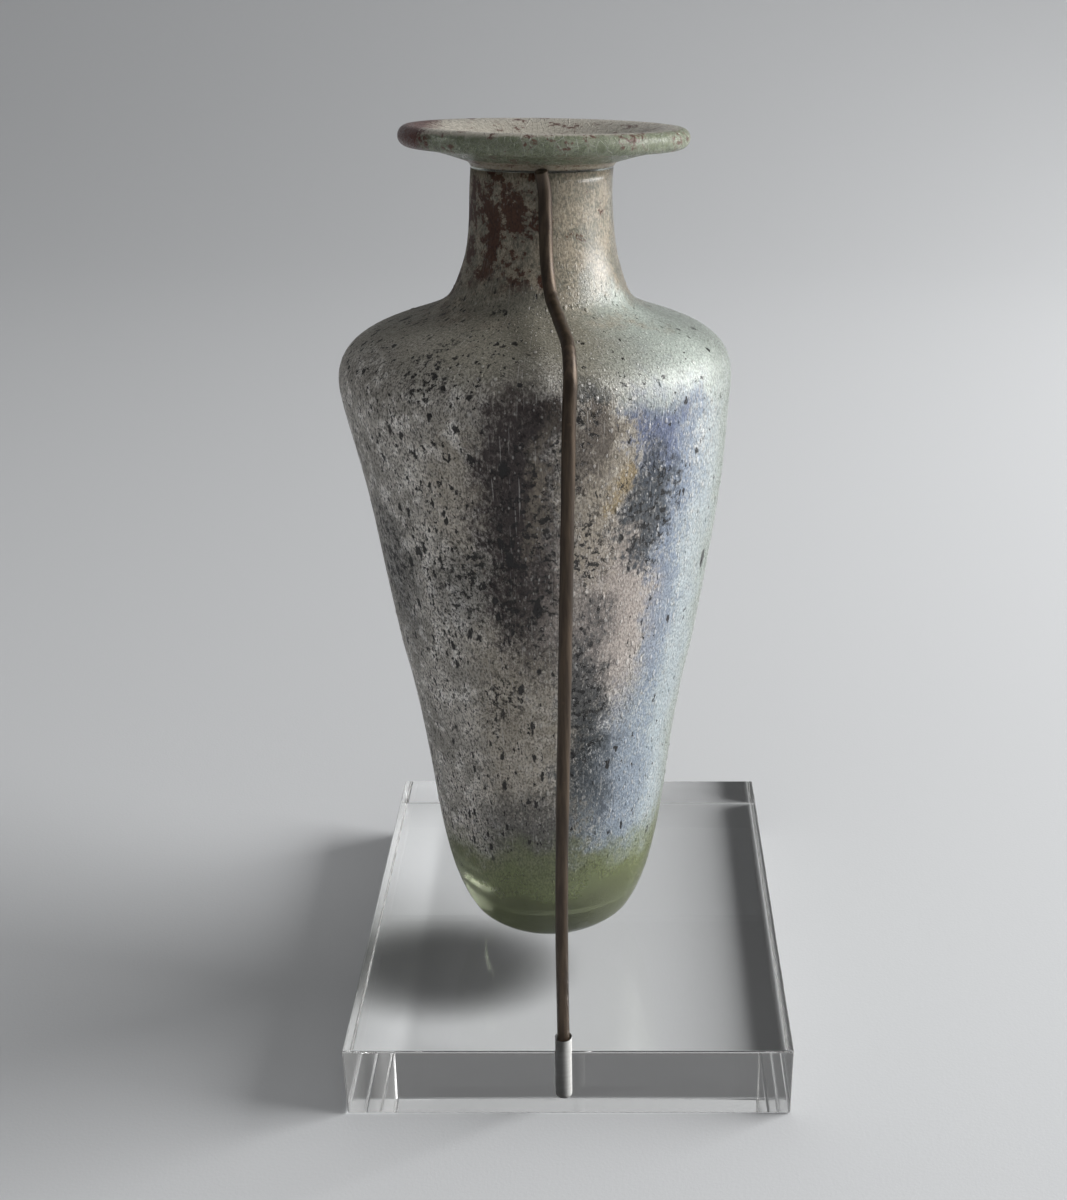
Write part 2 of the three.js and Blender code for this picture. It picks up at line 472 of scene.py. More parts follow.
def drill_shape():
    """The drill's shape, a cylinder with a rounded end, standing where the hole goes."""
    depth = base_high.z - HOLE_END
    bpy.ops.object.select_all(action="DESELECT")
    bpy.ops.mesh.primitive_cylinder_add(
        vertices=32, radius=HOLE_RADIUS, depth=2 * depth,
        location=(ROD_FOOT.x, ROD_FOOT.y, HOLE_END + depth),
    )
    drill = named("drill")
    bpy.ops.object.mode_set(mode="EDIT")
    bpy.ops.mesh.select_all(action="DESELECT")
    bpy.ops.object.mode_set(mode="OBJECT")
    for face in drill.data.polygons:
        face.select = face.normal.z < -0.5
    bpy.ops.object.mode_set(mode="EDIT")
    bpy.ops.mesh.bevel(offset=0.8 * HOLE_RADIUS, segments=5, affect="EDGES")
    bpy.ops.object.mode_set(mode="OBJECT")
    return settle(drill)


def acrylic_block():
    middle = (base_low + base_high) / 2
    bpy.ops.object.select_all(action="DESELECT")
    bpy.ops.mesh.primitive_cube_add(size=1, location=middle)
    block = named("clear_acrylic_block")
    block.scale = base_high - base_low
    settle(block)
    apply_modifier(block, "BEVEL", width=0.28 * MM, segments=3, limit_method="ANGLE")
    drill = drill_shape()
    apply_modifier(block, "BOOLEAN", object=drill, operation="DIFFERENCE", solver="EXACT")
    bpy.data.objects.remove(drill)
    only(block)
    bpy.ops.object.shade_smooth_by_angle(angle=math.radians(35))
    for face in block.data.polygons:
        if max(abs(part) for part in face.normal) > 0.9999:
            face.use_smooth = False  # the sawn faces are flat
    return report(block)


block = acrylic_block()

# %% [markdown]
# ## Materials: the tools
# Each finish is a small program of nodes. A short helper adds a node and joins its inputs, so that
# a material reads from top to bottom like a recipe.

# %% Node helpers
def put(tree, kind, settings=None, **inputs):
    """Add a shader node; each named input is a plain value or the socket that feeds it."""
    made = tree.nodes.new("ShaderNode" + kind)
    for key, value in (settings or {}).items():
        setattr(made, key, value)
    for key, value in inputs.items():
        socket = made.inputs[key.replace("_", " ")]
        if isinstance(value, bpy.types.NodeSocket):
            tree.links.new(value, socket)
        else:
            socket.default_value = value
    return made


def maths(tree, operation, first, second=0.5, third=0.5):
    """One Math node; its three inputs are numbers or sockets."""
    made = tree.nodes.new("ShaderNodeMath")
    made.operation = operation
    for socket, value in zip(made.inputs, (first, second, third)):
        if isinstance(value, bpy.types.NodeSocket):
            tree.links.new(value, socket)
        else:
            socket.default_value = value
    return made.outputs[0]


def ramp(tree, value, low, high, to_low=0.0, to_high=1.0):
    """A smooth change from to_low to to_high as value goes from low to high."""
    made = put(tree, "MapRange", {"interpolation_type": "SMOOTHSTEP"}, Value=value)
    for name, number in (("From Min", low), ("From Max", high), ("To Min", to_low), ("To Max", to_high)):
        made.inputs[name].default_value = number
    return made.outputs["Result"]


def blend(tree, share, first, second, mode="MIX"):
    """Mix two colours, each a colour or a socket, by a share."""
    made = tree.nodes.new("ShaderNodeMix")
    made.data_type = "RGBA"
    made.blend_type = mode
    for name, value in (("Factor", share), ("A", first), ("B", second)):
        socket = next(s for s in made.inputs if s.name == name and (name == "Factor" or s.type == "RGBA"))
        if isinstance(value, bpy.types.NodeSocket):
            tree.links.new(value, socket)
        else:
            socket.default_value = value if name == "Factor" else (*value, 1)
    return next(s for s in made.outputs if s.type == "RGBA")


def cloud(tree, vector, scale, detail, roughness=0.5):
    """A noise value; its scale is in features to one unit of the coordinates."""
    made = put(tree, "TexNoise", Vector=vector, Scale=scale, Detail=detail, Roughness=roughness)
    return made.outputs["Fac"]


def material(name):
    """A new material with its node tree and its Principled shader."""
    made = bpy.data.materials.new(name)
    made.use_nodes = True
    tree = made.node_tree
    return made, tree, tree.nodes["Principled BSDF"]


def join(tree, shader, **sockets):
    """Feed the shader's inputs from sockets."""
    for key, value in sockets.items():
        tree.links.new(value, shader.inputs[key.replace("_", " ")])


def dress(obj, *materials):
    """Give a piece its materials."""
    obj.data.materials.clear()
    for made in materials:
        obj.data.materials.append(made)


# %% Coordinates on the bottle
def bottle_coordinates(tree):
    """Object coordinates in millimetres, stood up straight on the bottle's own axis."""
    place = put(tree, "TexCoord").outputs["Object"]
    return put(
        tree, "Mapping", {"vector_type": "TEXTURE"},
        Vector=place, Location=BOTTLE_PLACE, Rotation=(-LEAN, 0, 0), Scale=(MM, MM, MM),
    ).outputs["Vector"]


def stretched(tree, vector, scale):
    """Coordinates multiplied by a scale along each axis."""
    return put(tree, "Mapping", Vector=vector, Scale=scale).outputs["Vector"]


# %% [markdown]
# ## Clear glass and clear acrylic
# Both are clear by plain values: full transmission, a real index of refraction and a faint tint.
# Tracing lamp light through curved glass takes far too many samples, so for the rays that go to a
# lamp the surface is taken as a tinted pane. That keeps what is inside the glass lit. A pane can't
# bend light, so in the block the bands and the shadow that bent light makes are given by place.

# %% Glass wall
def let_light_through(tree, shader, tint):
    """For rays towards a lamp, show a transparent pane in place of the glass."""
    pane = put(tree, "BsdfTransparent", Color=(*tint, 1))
    path = put(tree, "LightPath").outputs["Is Shadow Ray"]
    mixed = tree.nodes.new("ShaderNodeMixShader")
    tree.links.new(path, mixed.inputs[0])
    tree.links.new(shader.outputs[0], mixed.inputs[1])
    tree.links.new(pane.outputs[0], mixed.inputs[2])
    tree.links.new(mixed.outputs[0], tree.nodes["Material Output"].inputs["Surface"])
    return pane


def bottle_glass_finish():
    made, tree, shader = material("weathered_green_glass")
    place = bottle_coordinates(tree)
    height = put(tree, "SeparateXYZ", Vector=place).outputs["Z"]
    clouds = cloud(tree, place, 0.11, 4, 0.6)
    pale = blend(tree, clouds, (0.74, 0.82, 0.7), (0.9, 0.94, 0.88))
    colour = blend(tree, ramp(tree, height, 6, 24), (0.66, 0.72, 0.48), pale)
    fine = cloud(tree, place, 1.3, 3)
    bump = put(tree, "Bump", Height=fine, Strength=0.25, Distance=0.00008).outputs["Normal"]
    join(tree, shader, Base_Color=colour, Roughness=ramp(tree, fine, 0.35, 0.7, 0.03, 0.14), Normal=bump)
    shader.inputs["Transmission Weight"].default_value = 1
    shader.inputs["Metallic"].default_value = 0
    shader.inputs["IOR"].default_value = 1.5
    let_light_through(tree, shader, (0.68, 0.7, 0.64))
    return made


# %% Acrylic block
def acrylic(name, tint, roughness):
    """One face finish of the block: clear acrylic with its own tint and polish."""
    made, tree, shader = material(name)
    place = put(tree, "TexCoord").outputs["Object"]
    smears = cloud(tree, stretched(tree, place, (30, 90, 60)), 1, 5)
    join(tree, shader, Roughness=ramp(tree, smears, 0.5, 0.75, roughness, roughness + 0.03))
    shader.inputs["Base Color"].default_value = (*tint, 1)
    shader.inputs["Transmission Weight"].default_value = 1
    shader.inputs["Metallic"].default_value = 0
    shader.inputs["IOR"].default_value = 1.49
    pane = let_light_through(tree, shader, (1, 1, 1))
    tree.links.new(lamp_light_in_block(tree, place), pane.inputs["Color"])
    return made


def sawn_end():
    """The two ends keep the saw's marks, so they catch the light that travels along the block."""
    made = acrylic("sawn_acrylic_end", (0.97, 0.98, 0.97), 0.12)
    tree = made.node_tree
    shader = tree.nodes["Principled BSDF"]
    place = put(tree, "TexCoord").outputs["Object"]
    along = stretched(tree, place, (0, 330, 60))
    marks = cloud(tree, along, 1, 3)
    colour = blend(tree, ramp(tree, marks, 0.4, 0.62), (0.62, 0.62, 0.6), (1, 1, 0.99))
    join(tree, shader, Base_Color=colour)
    shader.inputs["Transmission Weight"].default_value = 0.72
    return made


def frosted_bore():
    """The drill leaves the wall of its hole white."""
    made, tree, shader = material("frosted_bore")
    place = put(tree, "TexCoord").outputs["Object"]
    turns = cloud(tree, stretched(tree, place, (300, 300, 2500)), 1, 3)
    join(tree, shader, Base_Color=blend(tree, turns, (0.7, 0.69, 0.66), (0.95, 0.95, 0.93)))
    shader.inputs["Roughness"].default_value = 0.6
    return made


# %% Lamp light in the block
FLAT_PASSES = 1.14  # above 1, because the light that bounces about inside the block isn't traced
GLOW_PASSES = 1.55  # beside the left end, which throws light down
GLOW_EDGES = (5.5 * MM, 8 * MM)
LEFT_END_PASSES = 0.12
RIGHT_END_PASSES = (0.05, 0.95)  # at its foot and at its top
SIDE_PASSES = 0.75
SHADE_PLACE = Vector((-17, -9)) * MM
SHADE_REACH = Vector((15, 10)) * MM
SHADE_DEPTH = 0.84


def bottle_shade(tree, parts):
    """Light goes down steeper inside the block, so the bottle's shadow lies close to its foot."""
    across = maths(tree, "DIVIDE", maths(tree, "SUBTRACT", parts["X"], SHADE_PLACE.x), SHADE_REACH.x)
    along = maths(tree, "DIVIDE", maths(tree, "SUBTRACT", parts["Y"], SHADE_PLACE.y), SHADE_REACH.y)
    far = maths(tree, "ADD", maths(tree, "POWER", across, 2), maths(tree, "POWER", along, 2))
    underside = maths(tree, "LESS_THAN", parts["Z"], base_high.z / 2)
    return maths(tree, "MULTIPLY", ramp(tree, far, 1.7, 0.15, 0, SHADE_DEPTH), underside)


def lamp_light_in_block(tree, place):
    """How much lamp light each face of the block passes. The light comes low from the right: what
    meets the left end is turned down and lands beside it, and the foot of the right end shades."""
    parts = put(tree, "SeparateXYZ", Vector=place).outputs
    facing = put(tree, "SeparateXYZ", Vector=put(tree, "NewGeometry").outputs["Normal"]).outputs
    end_face = maths(tree, "GREATER_THAN", maths(tree, "ABSOLUTE", facing["X"]), 0.7)
    flat_face = maths(tree, "GREATER_THAN", maths(tree, "ABSOLUTE", facing["Z"]), 0.7)
    side_face = maths(tree, "SUBTRACT", 1, maths(tree, "ADD", flat_face, end_face))

    from_left = maths(tree, "SUBTRACT", parts["X"], base_low.x)
    right_half = maths(tree, "GREATER_THAN", from_left, (base_high.x - base_low.x) / 2)
    foot, top = RIGHT_END_PASSES
    right_end = ramp(tree, parts["Z"], 0.3 * base_high.z, 0.45 * base_high.z, foot, top)
    end = put(tree, "Mix", Factor=right_half)
    end.inputs["A"].default_value = LEFT_END_PASSES
    tree.links.new(right_end, end.inputs["B"])

    flat = ramp(tree, from_left, *GLOW_EDGES, GLOW_PASSES, FLAT_PASSES)
    flat = maths(tree, "MULTIPLY", flat, maths(tree, "SUBTRACT", 1, bottle_shade(tree, parts)))
    passed = maths(tree, "MULTIPLY", flat_face, flat)
    passed = maths(tree, "MULTIPLY_ADD", end_face, end.outputs["Result"], passed)
    return maths(tree, "MULTIPLY_ADD", side_face, SIDE_PASSES, passed)


# %% Dress the glass and the block
def dress_block():
    """Top and underside polished clear, front and back tinted darker as painted shade, ends sawn, bore
    frosted.
    """
    dress(
        block,
        acrylic("polished_acrylic", (0.98, 0.985, 0.98), 0),
        # front and back faces: a darker tint as painted shade, for the darker look through them
        acrylic("acrylic_front_back_painted_shade", (0.86, 0.86, 0.85), 0),
        sawn_end(),
        frosted_bore(),
    )
    bore = Vector((ROD_FOOT.x, ROD_FOOT.y))
    for face in block.data.polygons:
        off_bore = (Vector(face.center[:2]) - bore).length
        if off_bore < HOLE_RADIUS * 1.01 and HOLE_END / 2 < face.center.z < base_high.z - MM:
            face.material_index = 3
        elif abs(face.normal.x) > 0.7:
            face.material_index = 2
        elif abs(face.normal.y) > 0.7:
            face.material_index = 1


dress(bottle, bottle_glass_finish())
dress_block()

# %% [markdown]
# ## Shared effects
# Two effects come back in several finishes: a soft patch at a place on the bottle, and scattered
# dots, which are flaked pits where their outline is ragged and gas bubbles where it is round. Each
# is a node group with named inputs and outputs, built once and placed with its own values.

# %% Group helper
def group(name, inputs, outputs):
    """A new node group with float or vector inputs and float outputs."""
    made = bpy.data.node_groups.new(name, "ShaderNodeTree")
    for socket in inputs:
        kind = "NodeSocketVector" if socket == "Vector" else "NodeSocketFloat"
        made.interface.new_socket(socket, in_out="INPUT", socket_type=kind)
    for socket in outputs:
        made.interface.new_socket(socket, in_out="OUTPUT", socket_type="NodeSocketFloat")
    return made, made.nodes.new("NodeGroupInput").outputs, made.nodes.new("NodeGroupOutput").inputs


def use(tree, made, **inputs):
    """Place a node group in a material; returns its mask."""
    return put(tree, "Group", {"node_tree": made}, **inputs).outputs["Mask"]


# %% Soft patch
def soft_patch_group():
    """An oval patch at an angle round the bottle and a height along it, with a flecked edge."""
    names = ["Around", "Height", "Fleck", "At", "Up", "Wide", "Tall", "Soft", "Strength"]
    tree, given, result = group("soft_patch", names, ["Mask"])
    sideways = maths(tree, "DIVIDE", maths(tree, "SUBTRACT", given["Around"], given["At"]), given["Wide"])
    upwards = maths(tree, "DIVIDE", maths(tree, "SUBTRACT", given["Height"], given["Up"]), given["Tall"])
    far = maths(tree, "ADD", maths(tree, "POWER", sideways, 2), maths(tree, "POWER", upwards, 2))
    edge = maths(tree, "DIVIDE", maths(tree, "SUBTRACT", 1, far), given["Soft"])
    flecked = maths(tree, "MULTIPLY_ADD", maths(tree, "SUBTRACT", given["Fleck"], 0.5), 5, edge)
    mask = maths(tree, "MULTIPLY", ramp(tree, flecked, -1, 1), given["Strength"])
    tree.links.new(mask, result["Mask"])
    return tree


# %% Scattered dots
def dots_group():
    """Dots on flat coordinates: Share of the cells hold one, Size is its radius in a cell."""
    names = ["Vector", "Scale", "Share", "Size", "Ragged"]
    tree, given, result = group("scattered_dots", names, ["Mask"])
    rough = put(tree, "TexNoise", Vector=given["Vector"], Scale=2.6, Detail=3).outputs["Color"]
    centred = put(tree, "VectorMath", {"operation": "SUBTRACT"}, Vector=rough).outputs["Vector"]
    centred.node.inputs[1].default_value = (0.5, 0.5, 0.5)
    shift = put(tree, "VectorMath", {"operation": "SCALE"}, Vector=centred, Scale=given["Ragged"])
    moved = put(tree, "VectorMath", {"operation": "ADD"}, Vector=given["Vector"])
    tree.links.new(shift.outputs["Vector"], moved.inputs[1])
    cells = put(tree, "TexVoronoi", {"voronoi_dimensions": "2D"}, Vector=moved.outputs["Vector"],
                Scale=given["Scale"])
    chance = put(tree, "SeparateColor", Color=cells.outputs["Color"]).outputs
    radius = maths(tree, "MULTIPLY", given["Size"], maths(tree, "MULTIPLY_ADD", chance["Green"], 0.9, 0.4))
    inside = ramp(tree, maths(tree, "SUBTRACT", radius, cells.outputs["Distance"]), -0.03, 0.05)
    chosen = maths(tree, "LESS_THAN", chance["Red"], given["Share"])
    tree.links.new(maths(tree, "MULTIPLY", inside, chosen), result["Mask"])
    return tree


soft_patch = soft_patch_group()
scattered_dots = dots_group()

# %% [markdown]
# ## The weathered skin
# Seen from the front the skin changes from side to side: silvery crust with dark pits at the left,
# a dark purple-brown stain in the middle, pinkish earth and slate patches right of the rod, then a
# blue iridescence, and last the bare pale-green glass. Patches are laid over one another as a
# restorer would map them, by angle round the bottle and height along it.

# %% Skin colours
SILVER_DARK = (0.1, 0.092, 0.08)
SILVER_GREY = (0.37, 0.345, 0.305)
SILVER_PALE = (0.68, 0.64, 0.585)
SILVER_WHITE = (0.95, 0.92, 0.88)
GREEN_FILM = (0.27, 0.3, 0.16)
CLEAR_FILM = (0.46, 0.51, 0.46)
OLIVE_FILM = (0.25, 0.235, 0.185)
PURPLE = (0.032, 0.019, 0.018)
EARTH = (0.4, 0.345, 0.265)
PINK_EARTH = (0.46, 0.4, 0.36)
SLATE = (0.035, 0.042, 0.046)
DEEP_BLUE = (0.1, 0.125, 0.22)
BLUE = (0.19, 0.235, 0.32)
PALE_BLUE = (0.37, 0.43, 0.455)
RED_BROWN = (0.07, 0.018, 0.006)
TAN = (0.34, 0.24, 0.09)
# painted shade: the near-black of the pits, the dark inside of the bottle seen through them
PIT_SHADE = (0.006, 0.005, 0.005)

# %% Where the stains lie
# colour, angle, height, half width in degrees, half height in millimetres, softness, strength
SKIN_PATCHES = (
    (EARTH, -8, 36, 17, 21, 1.1, 0.6),
    (SLATE, -58, 54, 13, 8, 1.3, 0.5),
    (SLATE, -22, 55, 13, 4, 1.2, 0.4),
    (EARTH, -24, 66, 9, 7, 1.2, 0.5),
    (PURPLE, -5, 67, 13, 15, 0.8, 0.97),
    (PURPLE, -1, 53, 13, 8, 1.1, 0.75),
    (EARTH, 1, 68, 3.5, 6, 1.2, 0.5),
    (SLATE, -4, 20, 24, 7, 1.2, 0.75),
    (PALE_BLUE, 62, 46, 26, 40, 1.1, 0.9),
    (PALE_BLUE, 42, 24, 26, 17, 1.1, 0.8),
    (PINK_EARTH, 24, 53, 18, 14, 1.0, 0.95),
    (EARTH, 18, 70, 9, 12, 1.0, 0.8),
    (PURPLE, 16, 74, 6, 5, 1.1, 0.7),
    (BLUE, 42, 70, 13, 11, 1.2, 0.8),
    (DEEP_BLUE, 36, 75, 9, 7, 1.1, 0.85),
    (BLUE, 45, 51, 7, 12, 1.1, 0.7),
    (BLUE, 34, 27, 17, 12, 1.2, 0.65),
    (SLATE, 34, 64.5, 8, 6.5, 0.9, 0.85),
    (SLATE, 16, 80, 8, 2.4, 0.8, 0.85),
    (SLATE, 16, 41, 9, 11, 1.0, 0.85),
    (SLATE, 20, 29, 12, 7, 1.1, 0.75),
    (TAN, 24, 67.5, 2.6, 1.6, 0.9, 0.6),
    (TAN, 76, 14, 7, 6, 0.9, 0.7),
)

# angle, height, half width in degrees, half height in millimetres of each crowd of flaked spots, painted
# black as shade of the dark inside seen through them
FLAKE_CROWDS = (
    (17, 61, 7, 4),
    (36, 64, 10, 6),
    (23.5, 67.8, 2.6, 1),
    (-24, 56, 9, 6),
    (-60, 56, 12, 7),
    (-30, 81, 9, 3),
    (-2, 60, 12, 14),
    (16, 41, 8, 11),
    (-16, 40, 8, 3),
    (10, 74, 6, 6),
)


# %% Places and noises on the wall
def bottle_angle(tree, place):
    """Angle round the bottle in degrees, 0 at the front and growing to the right."""
    parts = put(tree, "SeparateXYZ", Vector=place).outputs
    turn = maths(tree, "ARCTAN2", parts["X"], maths(tree, "MULTIPLY", parts["Y"], -1))
    return maths(tree, "MULTIPLY", turn, 180 / math.pi), parts["Z"]


def strayed(tree, value, *steps):
    """A value moved about by noises; each step is a noise socket and how far it moves the value."""
    for noise_value, reach in steps:
        value = maths(tree, "MULTIPLY_ADD", maths(tree, "SUBTRACT", noise_value, 0.5), reach, value)
    return value


MM_PER_DEGREE = 0.35  # along the wall where the bottle is 20 mm in radius


class WallFields:
    """What every part of the skin reads: where it is, and noises from coarse to fine."""

    def __init__(self, tree):
        self.place = bottle_coordinates(tree)
        around, height = bottle_angle(tree, self.place)
        drawn = stretched(tree, self.place, (1, 1, 0.6))
        self.big = cloud(tree, self.place, 0.14, 3, 0.6)
        self.mid = cloud(tree, self.place, 0.42, 8, 0.62)
        self.fine = cloud(tree, drawn, 1.9, 6, 0.7)
        self.grain = cloud(tree, drawn, 4.5, 4, 0.65)
        self.around = strayed(tree, around, (self.big, 24), (self.mid, 14), (self.fine, 4))
        self.back = ramp(tree, self.around, 122, 150)
        self.height = strayed(tree, height, (self.big, 12), (self.mid, 8), (self.fine, 3))
        across = maths(tree, "MULTIPLY", around, MM_PER_DEGREE)
        level = stretched(tree, self.place, (1, 1, 0))
        radius = put(tree, "VectorMath", {"operation": "LENGTH"}, Vector=level).outputs["Value"]
        upwards = maths(tree, "MULTIPLY", maths(tree, "SUBTRACT", height, radius), 0.62)
        self.flat = put(tree, "CombineXYZ", X=across, Y=upwards).outputs[0]
        lean = put(tree, "Mapping", Vector=self.flat, Rotation=(0, 0, 0.22), Scale=(5, 0.22, 1))
        self.lines = cloud(tree, lean.outputs["Vector"], 1, 2, 0.5)


# %% Silver crust
def silver_crust(tree, wall):
    """Grey crust in soft clouds, with cottony white tufts and a fine dark grain."""
    clouds = ramp(tree, strayed(tree, wall.big, (wall.mid, 0.6)), 0.3, 0.68)
    colour = blend(tree, clouds, SILVER_GREY, SILVER_PALE)
    tufts = ramp(tree, strayed(tree, wall.mid, (wall.fine, 0.6)), 0.5, 0.64)
    colour = blend(tree, maths(tree, "MULTIPLY", tufts, 0.75), colour, SILVER_WHITE)
    specks = ramp(tree, strayed(tree, wall.grain, (wall.fine, 0.5)), 0.5, 0.4)
    return blend(tree, maths(tree, "MULTIPLY", specks, 0.7), colour, SILVER_DARK)


# %% Neck deposit
def neck_deposit(tree, wall):
    """Beige earth with dark red-brown stains, crowded at the front left."""
    clouds = ramp(tree, strayed(tree, wall.mid, (wall.grain, 0.5)), 0.36, 0.62)
    ground = blend(tree, clouds, OLIVE_FILM, EARTH)
    edge = ramp(tree, wall.around, 25, -15, 0.14, 0)
    edge = maths(tree, "MULTIPLY", edge, maths(tree, "SUBTRACT", 1, wall.back))
    stain = strayed(tree, cloud(tree, wall.place, 0.32, 9, 0.72), (wall.grain, 0.16))
    mask = ramp(tree, maths(tree, "SUBTRACT", stain, edge), 0.47, 0.52)
    return blend(tree, maths(tree, "MULTIPLY", mask, 0.93), ground, RED_BROWN)


# %% Pits, flakes and bubbles
def pits_and_pit_shade(tree, wall, crust):
    """Ragged pits in the crust, from pinpricks to a millimetre and a half, and crowds of flakes. The skin
    paints them near black, as painted shade.
    """
    crowd = ramp(tree, strayed(tree, wall.mid, (wall.big, 0.5)), 0.4, 0.6, 0.25, 1)
    share = maths(tree, "MULTIPLY", crowd, maths(tree, "MULTIPLY_ADD", crust, 0.42, 0.05))
    sizes = ((1.7, 0.24, 1), (0.8, 0.24, 0.8), (0.33, 0.17, 0.6))
    pits = 0
    for scale, size, part in sizes:
        dots = use(tree, scattered_dots, Vector=wall.flat, Scale=scale, Size=size, Ragged=0.9,
                   Share=maths(tree, "MULTIPLY", share, part))
        pits = maths(tree, "MAXIMUM", pits, dots)
    torn = ramp(tree, cloud(tree, wall.place, 1.2, 6, 0.68), 0.53, 0.57)
    for at, centre, wide, tall in FLAKE_CROWDS:
        near = use(tree, soft_patch, Around=wall.around, Height=wall.height, Fleck=wall.fine, At=at,
                   Up=centre, Wide=wide, Tall=tall, Soft=0.9, Strength=1)
        pits = maths(tree, "MAXIMUM", pits, maths(tree, "MULTIPLY", near, torn))
    return pits


def gas_bubbles(tree, wall, crust):
    """Round bubbles under the skin, crowded where the crust is thin."""
    share = maths(tree, "MULTIPLY_ADD", crust, -0.45, 0.6)
    small = use(tree, scattered_dots, Vector=wall.flat, Scale=1.55, Share=share, Size=0.15, Ragged=0.1)
    large = use(tree, scattered_dots, Vector=wall.flat, Scale=0.55, Share=share, Size=0.1, Ragged=0.1)
    return maths(tree, "MAXIMUM", small, large)


# %% Skin finish
def skin_finish():
    made, tree, shader = material("iridescent_crust")
    wall = WallFields(tree)
    crust = maths(tree, "MAXIMUM", ramp(tree, wall.around, 8, -14), wall.back)
    silver = silver_crust(tree, wall)
    colour = silver
    for patch, at, centre, wide, tall, soft, strength in SKIN_PATCHES:
        mask = use(tree, soft_patch, Around=wall.around, Height=wall.height, Fleck=wall.fine, At=at,
                   Up=centre, Wide=wide, Tall=tall, Soft=soft, Strength=strength)
        colour = blend(tree, mask, colour, patch)
    colour = blend(tree, ramp(tree, wall.around, 58, 80), colour, CLEAR_FILM)
    colour = blend(tree, wall.back, colour, silver)
    colour = blend(tree, ramp(tree, wall.height, 22, 13), colour, GREEN_FILM)
    colour = blend(tree, ramp(tree, wall.height, 77, 84, 0, 0.9), colour, OLIVE_FILM)
    # The right of the upper shoulder gets the paler film: partly clearer film, partly a painted highlight
    # where the window shines.
    pale_film_and_painted_highlight = maths(tree, "MULTIPLY", ramp(tree, wall.height, 74, 82), ramp(tree, wall.around, 15, 55))
    pale_film_and_painted_highlight = maths(tree, "MULTIPLY", pale_film_and_painted_highlight, maths(tree, "SUBTRACT", 1, wall.back))
    colour = blend(tree, pale_film_and_painted_highlight, colour, CLEAR_FILM)
    colour = blend(tree, ramp(tree, wall.height, 84, 90), colour, neck_deposit(tree, wall))

    mottle = maths(tree, "MULTIPLY_ADD", ramp(tree, wall.grain, 0.35, 0.65), 0.7, 0.62)
    grey = put(tree, "CombineColor", Red=mottle, Green=mottle, Blue=mottle).outputs[0]
    colour = blend(tree, 0.85, colour, grey, "MULTIPLY")
    below_neck = ramp(tree, wall.height, 92, 84, 0.35, 1)
    on_body = maths(tree, "MULTIPLY", ramp(tree, wall.height, 12, 20), below_neck)
    bubbles = maths(tree, "MULTIPLY", gas_bubbles(tree, wall, crust), on_body)
    # Bubbles made whiter: partly their real silvering, partly painted glints.
    colour = blend(tree, maths(tree, "MULTIPLY", bubbles, 0.3), colour, SILVER_WHITE)
    lines = maths(tree, "MULTIPLY", ramp(tree, wall.lines, 0.66, 0.7), on_body)
    colour = blend(tree, maths(tree, "MULTIPLY", lines, 0.3), colour, SILVER_WHITE)
    # Pits painted near black: painted shade of the dark inside seen through the flaked crust.
    pits = maths(tree, "MULTIPLY", pits_and_pit_shade(tree, wall, crust), on_body)
    colour = blend(tree, maths(tree, "MULTIPLY", pits, 0.95), colour, PIT_SHADE)

    bare_side = maths(tree, "MAXIMUM", ramp(tree, wall.around, 58, 80, 1, 0.42), wall.back)
    bare_foot = ramp(tree, wall.height, 6, 22, 0.35, 1)
    bare_top = maths(tree, "MULTIPLY_ADD", ramp(tree, wall.height, 80, 86), -0.1, 1)
    alpha = maths(tree, "MULTIPLY", maths(tree, "MULTIPLY", bare_side, bare_foot), bare_top)
    swells = maths(tree, "MULTIPLY", bubbles, 0.9)
    relief = maths(tree, "MULTIPLY_ADD", wall.grain, 0.8, swells)
    relief = maths(tree, "MULTIPLY", maths(tree, "SUBTRACT", relief, pits), on_body)
    bump = put(tree, "Bump", Height=relief, Strength=0.7, Distance=0.00016).outputs["Normal"]
    gloss = strayed(tree, ramp(tree, wall.around, -30, 30, 0.55, 0.24), (wall.fine, 0.3))
    join(tree, shader, Base_Color=colour, Alpha=alpha, Normal=bump, Roughness=gloss)
    return made


def soil_finish():
    made, tree, shader = material("dried_soil_film")
    place = bottle_coordinates(tree)
    clouds = cloud(tree, place, 0.13, 6, 0.65)
    patches = cloud(tree, place, 0.5, 6, 0.7)
    colour = blend(tree, ramp(tree, clouds, 0.4, 0.6), (0.25, 0.23, 0.19), (0.5, 0.47, 0.4))
    height = put(tree, "SeparateXYZ", Vector=place).outputs["Z"]
    ragged = ramp(tree, patches, 0.35, 0.65, 0.2, 0.8)
    alpha = maths(tree, "MULTIPLY", ragged, ramp(tree, height, 8, 26, 0.1, 1))
    join(tree, shader, Base_Color=colour, Alpha=alpha)
    shader.inputs["Roughness"].default_value = 0.7
    return made


